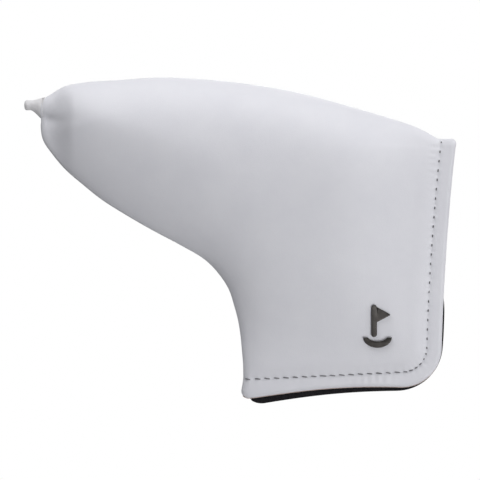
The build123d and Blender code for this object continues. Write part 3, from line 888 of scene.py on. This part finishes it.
def makeLining(name, edge, leatherEdge, side, s):
    # plush from the middle plane out, its pile uneven, always inside the leather
    across, down = (
        np.concatenate([np.linspace(first, meet, many, endpoint=False), np.linspace(meet, 1.0, few)])
        for first, many, meet, few in (s["across"], s["down"])
    )
    flat = coons(edge, across, down).reshape(-1, 2)
    bare, near = leatherDepth(leatherEdge, flat)
    thick = shrunk(bare, near)
    face = s["face"] + np.logaddexp(0, (thick - s["stack"]) / s["ease"]) * s["ease"]
    pile = s["pile"] * waves(flat, 11, 9, 0.9, 2.6) * smoothStep(near["rim"], 0.0, 1.5)
    outer = np.clip(thick - s["inside"], 0.35, face + s["thick"])
    inner = np.minimum(np.maximum(face + pile, 0.12), outer - 0.15)
    return closedSheet(name, edge, side, across, down, outer, inner, plushMat)


def makeFoam(name, edge, side, s):
    across, down = (np.linspace(s["from"], s["to"], count) for count in s["rows"])
    flat = coons(edge, across, down).reshape(-1, 2)
    thick = shrunk(*leatherDepth(edge, flat))
    outer = np.maximum(thick - s["outside"], 0.4)
    inner = np.minimum(np.maximum(thick - s["inside"], s["least"]), outer - 0.25)
    return closedSheet(name, edge, side, across, down, outer, inner, foamMat)


def carried(path, radii, sides=8, upright=(0.0, 1.0, 0.0), twist=1.0):
    # a round profile of the given radii carried along a path
    path = np.asarray(path, float)
    way = np.gradient(path, axis=0)
    way /= lengths(way)[:, None]
    right = np.cross(way, np.asarray(upright, float))
    right /= lengths(right)[:, None]
    over = np.cross(right, way)
    angle = np.linspace(0, 2 * math.pi, sides, endpoint=False)
    radii = np.broadcast_to(np.asarray(radii, float).reshape(-1, 1, 1), (len(path), 1, 1))
    rings = path[:, None] + radii * (
        np.cos(angle)[None, :, None] * right[:, None] + np.sin(angle)[None, :, None] * over[:, None]
    )
    faces = gridFaces(len(path), sides, closedColumns=True, flip=True)
    turns = np.tile(angle / (2 * math.pi), len(path))
    uvs = np.stack([np.repeat(distances(path), sides) * twist, turns], axis=1)
    return rings.reshape(-1, 3), faces, uvs


def joinPieces(pieces):
    # stacks several point, face and UV arrays into one
    points, faces, uvs, start = [], [], [], 0
    for p, f, w in pieces:
        points.append(p)
        faces.append(f + start)
        uvs.append(w)
        start += len(p)
    return np.vstack(points), np.vstack(faces), np.vstack(uvs)


for edge in (frontEdge, rearEdge):
    edge["shift"] = simulatePuff(edge, puffing)

seamTop = np.array([frontEdge["crownEnd"][0], 0.0, frontEdge["crownEnd"][1]])
seamFoot = np.array([neckX, 0.0, footZ])
foldWay = (seamFoot - seamTop) / np.linalg.norm(seamFoot - seamTop)
foldOut = np.array([-foldWay[2], 0.0, foldWay[0]])
foldOut = foldOut * np.sign(foldOut[0])


def foldWith(piece, half, *nodes, slot=None, fill=None):
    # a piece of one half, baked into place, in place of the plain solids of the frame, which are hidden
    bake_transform(piece)
    if nodes:
        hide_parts(*nodes)


halves = {"front": (frontEdge, -1), "rear": (rearEdge, 1)}
plushEdges = {"front": frontPlushEdge, "rear": rearPlushEdge}
for half in halves:
    plushEdges[half]["shift"] = halves[half][0]["shift"]
for half, (edge, side) in halves.items():
    skin = makeSkin(half + "_skin", edge, side)
    foldWith(skin, half, half + "_leather", half + "_flap_leather", slot="white_leather", fill=0.9)
    foam = makeFoam(half + "_padding", edge, side, padding)
    foldWith(foam, half, half + "_foam", half + "_flap_foam", slot="foam")
    plush = makeLining(half + "_plush", plushEdges[half], edge, side, lining)
    foldWith(plush, half, half + "_lining", half + "_flap_lining", slot="black_lining")
    print(half, "half made")


# ---- stitches along the hem

stitching = {
    "radius": 0.24, "heelShown": 1.05, "neckShown": 2.9, "squeeze": 1.2, "seamGap": 0.5,
    # slant of the neck's stitches, largest slant of the heel's, how high they lie and how deep they dive
    "slant": -0.16, "heelSlant": 0.12, "rise": 0.16, "dip": 1.65, "flatShare": 0.55, "sides": 7, "steps": 9,
}


def outwardOf(line, count):
    # unit directions along a line and away from the middle of the flap
    way = np.gradient(line, axis=0)
    way /= lengths(way)[:, None]
    outward = np.stack([-way[:, 1], way[:, 0]], axis=1)
    if (np.array([0.0, 60.0]) - line[count]) @ outward[count] > 0:
        outward = -outward
    return way, outward


def makeStitches(name, edge, side, s, seed, neck):
    # each stitch lies on the leather for a short way and dives into its holes: its path is a flat
    # arch, its place follows the open edge moved in by the row's inset; neck or heel stitches only
    rng = np.random.default_rng(seed)
    line = edge["open"]
    way, outward = outwardOf(line, 200)
    along = np.linspace(0, edge["openLength"], len(line))
    row = line - outward * stuffing["stitchInset"]
    # round the foot the row is shorter than the edge, and so are its stitches
    squeeze = lengths(np.gradient(row, axis=0)) / lengths(np.gradient(line, axis=0))
    under = edge["under"][edge["under"][:, 1] < 30]
    under = under[np.argsort(under[:, 1])]
    t = np.linspace(-1, 1, s["steps"])
    rise = s["rise"] * (1 - t ** 2) - s["dip"] * np.clip(np.abs(t) - s["flatShare"], 0, 1) ** 1.4
    radii = s["radius"] * np.sqrt(np.clip(1 - np.abs(t) ** 6 * 0.7, 0.2, 1))
    pieces = []
    for k in range(int(edge["openLength"] / stuffing["pitch"])):
        centre = (k + 0.5) * stuffing["pitch"]
        neckSide = float(stitchSlant(np.array([centre]), edge)[0])
        shown = (s["heelShown"] + (s["neckShown"] - s["heelShown"]) * neckSide) * rng.uniform(0.88, 1.12)
        shown *= min(1.0, float(np.interp(centre, along, squeeze))) ** s["squeeze"]
        slant = s["slant"] * neckSide * rng.uniform(0.6, 1.3)
        slant += (1 - neckSide) * rng.uniform(-s["heelSlant"], s["heelSlant"])
        at = np.array([np.interp(centre, along, row[:, c]) for c in (0, 1)])
        seamX = float(np.interp(at[1], under[:, 1], under[:, 0]))
        if (neckSide > 0.5) != neck or at[0] - shown / 2 < seamX + s["seamGap"]:
            continue
        w = np.array([np.interp(centre, along, way[:, c]) for c in (0, 1)])
        turn = math.atan2(w[1], w[0]) + slant
        flat = at + np.outer(t * shown / 2, (math.cos(turn), math.sin(turn)))
        depth = leatherDepth(edge, flat)[0].mean() + rise
        path = np.stack([flat[:, 0], side * depth, flat[:, 1]], axis=1)
        pieces.append(carried(path, radii, sides=s["sides"], twist=1.3))
    points, faces, uvs = joinPieces(pieces)
    return putMesh(name, points, faces, neckThreadShadeMat if neck else hemThreadShadeMat, uvs)


for half, (edge, side) in halves.items():
    thread = makeStitches(half + "_stitches", edge, side, stitching, 5 if side < 0 else 6, False)
    foldWith(thread, half, half + "_hem_thread", slot="hem_thread")
    thread = makeStitches(half + "_neck_stitches", edge, side, stitching, 7 if side < 0 else 8, True)
    foldWith(thread, half, slot="hem_thread")


# ---- cut edge of the leather, between the hem and the plush

rawEdge = {"radius": 0.17, "level": 1.66, "heelOut": -0.12, "neckOut": 0.12}


def makeRawEdge(name, edge, side, s):
    line = resample(edge["rim"], 420)
    way, outward = outwardOf(line, 100)
    along = np.linspace(0, edge["openLength"], len(line))
    out = s["heelOut"] + (s["neckOut"] - s["heelOut"]) * stitchSlant(along, edge)
    flat = line + outward * out[:, None]
    uneven = s["radius"] * (1 + 0.18 * waves(flat, 21, 5, 2.0, 9.0))
    path = np.stack([flat[:, 0], np.full(len(flat), side * s["level"]), flat[:, 1]], axis=1)
    points, faces, uvs = carried(path, uneven)
    return putMesh(name, points, faces, rawEdgeMat, uvs)


for half, (edge, side) in halves.items():
    raw = makeRawEdge(half + "_raw_edge", edge, side, rawEdge)
    foldWith(raw, half, slot="white_leather")


# ---- toe tail and its binding

tail = {
    # along the tail: how far out, height of the axis, half height, half depth
    "rings": [
        (-117.6, 119.0, 3.6, 1.9), (-119.4, 119.0, 4.45, 2.5), (-120.6, 119.1, 4.35, 2.8),
        (-121.9, 119.2, 4.0, 2.8), (-123.2, 119.7, 3.15, 2.35), (-124.4, 120.1, 2.5, 2.0),
        (-125.6, 120.4, 2.1, 1.85), (-126.7, 120.4, 2.15, 1.95), (-127.6, 120.4, 2.05, 1.85),
        (-128.2, 120.4, 1.4, 1.3), (-128.4, 120.4, 0.15, 0.15),
    ],
    "around": 56, "along": 90, "lump": 0.045, "turns": 0.7,
    # the lap: its groove's place, depth and width, its lip's place, height and width
    "groove": (0.5, 0.10, 0.035), "lip": (0.56, 0.03, 0.06),
    # the binding: first turn, pitch, number of turns, radius of the thread and how far off the tail
    "bindX": -119.9, "bindPitch": 0.42, "bindTurns": 2.3, "bindRadius": 0.2, "bindOff": 0.02,
}


def makeTail(s):
    # rings of an ellipse whose centre and half sizes follow smooth curves, with a rolled-in lap that
    # winds slowly round and small lumps
    rings = smoothCurve(s["rings"], s["along"])
    angle = np.linspace(0, 2 * math.pi, s["around"], endpoint=False)
    share = np.linspace(0, 1, s["along"])[:, None]
    lap = np.mod(angle[None] / (2 * math.pi) + share * s["turns"], 1)
    at, depth, width = s["groove"]
    size = 1 - depth * np.exp(-((lap - at) / width) ** 2)
    at, height, width = s["lip"]
    size = size + height * np.clip(1 - np.abs(lap - at) / width, 0, 1)
    spots = np.stack([np.repeat(rings[:, 0], s["around"]), np.tile(angle * 3.0, s["along"])], axis=1)
    size = size * (1 + s["lump"] * waves(spots, 31, 7, 1.5, 5.0).reshape(s["along"], s["around"]))
    points = np.stack([
        np.repeat(rings[:, :1], s["around"], axis=1),
        rings[:, 3:4] * size * np.sin(angle)[None],
        rings[:, 1:2] + rings[:, 2:3] * size * np.cos(angle)[None],
    ], axis=-1).reshape(-1, 3)
    faces = gridFaces(s["along"], s["around"], closedColumns=True)
    return putMesh("toe_roll", points, faces, tailMat)


def makeBinding(s):
    # thread wound round the cone where the tail leaves the leather
    turns = np.linspace(0, s["bindTurns"] * 2 * math.pi, 150)
    x = s["bindX"] - s["bindPitch"] * turns / (2 * math.pi)
    rings = smoothCurve(s["rings"], 200)
    rings = rings[np.argsort(rings[:, 0])]
    level, high, deep = (np.interp(x, rings[:, 0], rings[:, k]) for k in (1, 2, 3))
    off = s["bindOff"]
    path = np.stack([x, (deep + off) * np.sin(turns), level + (high + off) * np.cos(turns)], axis=1)
    points, faces, uvs = carried(path, s["bindRadius"], sides=7, upright=(1, 0, 0.02))
    return putMesh("toe_binding", points, faces, seamThreadMat, uvs)


for piece, node, slot in (
    (makeTail(tail), "toe_tail", "rolled_tail"), (makeBinding(tail), "toe_whipping", "seam_thread"),
):
    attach(piece, "shell")
    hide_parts(node)
print("tail made")


# ---- emblem

emblem = {
    "relief": 0.95, "bevel": 0.34, "sunk": 0.55, "rings": 4,
    # shares of the mark's width and height, from its middle
    "mast": -0.12, "mastHalf": 0.10, "mastFoot": -0.25, "flagTop": 0.48, "flagTip": (0.46, 0.27),
    "flagFoot": 0.06, "groundEnds": -0.26, "groundOuter": (0.5, 0.24), "groundInner": (0.40, 0.19),
    "groundInnerLevel": -0.16,
}
markWide = groundHigh[0] - groundLow[0]
markTall = emblemHigh[2] - groundLow[2]


def arcOf(centre, radii, first, last, count):
    # points on an ellipse between two angles in degrees
    angle = np.radians(np.linspace(first, last, count))
    return np.stack([centre[0] + radii[0] * np.cos(angle), centre[1] + radii[1] * np.sin(angle)], axis=1)


def divided(corners, gap):
    # a closed outline with its long stretches divided
    pieces = []
    for a, b in zip(corners, np.roll(corners, -1, axis=0)):
        count = max(1, int(np.linalg.norm(b - a) / gap))
        pieces.append(a + (b - a) * np.linspace(0, 1, count, endpoint=False)[:, None])
    return np.vstack(pieces)


def flagOutline(s):
    # a mast with round ends and a pennant with a round tip
    x, half = s["mast"] * markWide, s["mastHalf"] * markWide
    foot, top = s["mastFoot"] * markTall, markTall / 2
    tip = np.array([s["flagTip"][0] * markWide, s["flagTip"][1] * markTall])
    upper = np.array([x, s["flagTop"] * markTall])
    lower = np.array([x, s["flagFoot"] * markTall])
    share = half / (tip[0] - x)
    ends = [arcOf((x, foot + half), (half, half), 180, 360, 13), [lower + (tip - lower) * share]]
    ends += [arcOf(tip - np.array([0.75, 0.0]), (0.5, 0.42), -64, 64, 9), [upper + (tip - upper) * share]]
    ends += [arcOf((x, top - half), (half, half), 0, 180, 13)]
    return divided(np.vstack(ends), 0.5)


def groundOutline(s):
    # a crescent: a wide ellipse's lower half with a smaller one taken out of it
    centre = (0.0, s["groundEnds"] * markTall)
    outer = arcOf(centre, (s["groundOuter"][0] * markWide, s["groundOuter"][1] * markTall), 180, 360, 40)
    inside = (0.0, s["groundInnerLevel"] * markTall)
    drop = (inside[1] - centre[1]) / (s["groundInner"][1] * markTall)
    turn = math.degrees(math.asin(drop))
    radii = (s["groundInner"][0] * markWide, s["groundInner"][1] * markTall)
    inner = arcOf(inside, radii, -turn, -180 + turn, 34)
    return divided(np.vstack([outer, inner]), 0.5)


def raisedMark(name, outlinePoints, s):
    # an outline with a rounded rim, laid on the leather and sunk a little into it
    curve = bpy.data.curves.new(name, "CURVE")
    curve.dimensions = "2D"
    curve.fill_mode = "BOTH"
    curve.extrude = ((s["relief"] + s["sunk"]) / 2 - s["bevel"]) * mm
    curve.bevel_depth = s["bevel"] * mm
    curve.bevel_resolution = s["rings"]
    curve.offset = -s["bevel"] * mm
    line = curve.splines.new("POLY")
    line.points.add(len(outlinePoints) - 1)
    line.points.foreach_set("co", np.hstack([
        outlinePoints * mm, np.zeros((len(outlinePoints), 1)), np.ones((len(outlinePoints), 1)),
    ]).ravel())
    line.use_cyclic_u = True
    holder = addThing(name + "Curve", curve)
    made = bpy.data.meshes.new_from_object(holder.evaluated_get(bpy.context.evaluated_depsgraph_get()))
    bpy.data.objects.remove(holder)
    work = bmesh.new()
    work.from_mesh(made)
    bmesh.ops.remove_doubles(work, verts=work.verts, dist=2e-6)
    bmesh.ops.triangulate(work, faces=[f for f in work.faces if len(f.verts) > 4])
    flat = np.array([v.co for v in work.verts]) / mm
    place = flat[:, :2] + np.array(markPlace)
    depth = markDepth(place) + flat[:, 2] + (s["relief"] - s["sunk"]) / 2
    for vert, at, deep in zip(work.verts, place, depth):
        vert.co = (at[0] * mm, -deep * mm, at[1] * mm)
    bmesh.ops.recalc_face_normals(work, faces=work.faces)
    work.to_mesh(made)
    work.free()
    made.materials.clear()
    made.materials.append(metalMat)
    made.set_sharp_from_angle(angle=math.radians(35))
    return addThing(name, made)


def markDepth(place):
    # the leather under the mark, with the quick or the simulated puff
    thick = shrunk(*leatherDepth(frontEdge, place))
    return thick - shiftAt(frontEdge, place)


def shiftAt(edge, place):
    # how far the simulated cloth moved out (negative y) at some places on the front
    across, down = np.linspace(0, 1, 120), np.linspace(0, 1, 100)
    flat = coons(edge, across, down).reshape(-1, 2)
    moved = puffShift(edge, across, down).reshape(-1, 3)[:, 1]
    found = np.empty(len(place))
    for k, spot in enumerate(place):
        gap = np.sum((flat - spot) ** 2, axis=1)
        near = np.argpartition(gap, 4)[:4]
        weight = 1 / (gap[near] + 1e-3)
        found[k] = (moved[near] * weight).sum() / weight.sum()
    return found


for name, shape, node in (
    ("emblem_flag", flagOutline(emblem), "emblem_pennant"),
    ("emblem_green", groundOutline(emblem), "emblem_ground"),
):
    mark = raisedMark(name, shape, emblem)
    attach(mark, "front_flap")
    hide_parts(node)
print("emblem made")


# ---- magnets, copied from the frame's discs, and the seam's own thread from the frame

for half in halves:
    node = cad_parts[half + "_magnets"]
    shape = node.data.copy()
    shape.transform(node.matrix_world)
    shape.materials.clear()
    shape.materials.append(discMat)
    shape.set_sharp_from_angle(angle=math.radians(35))
    foldWith(addThing(half + "_discs", shape), half, half + "_magnets", slot="magnet")

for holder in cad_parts["seam_thread"].material_slots:
    holder.link = "OBJECT"
    holder.material = seamThreadMat

print("finished")
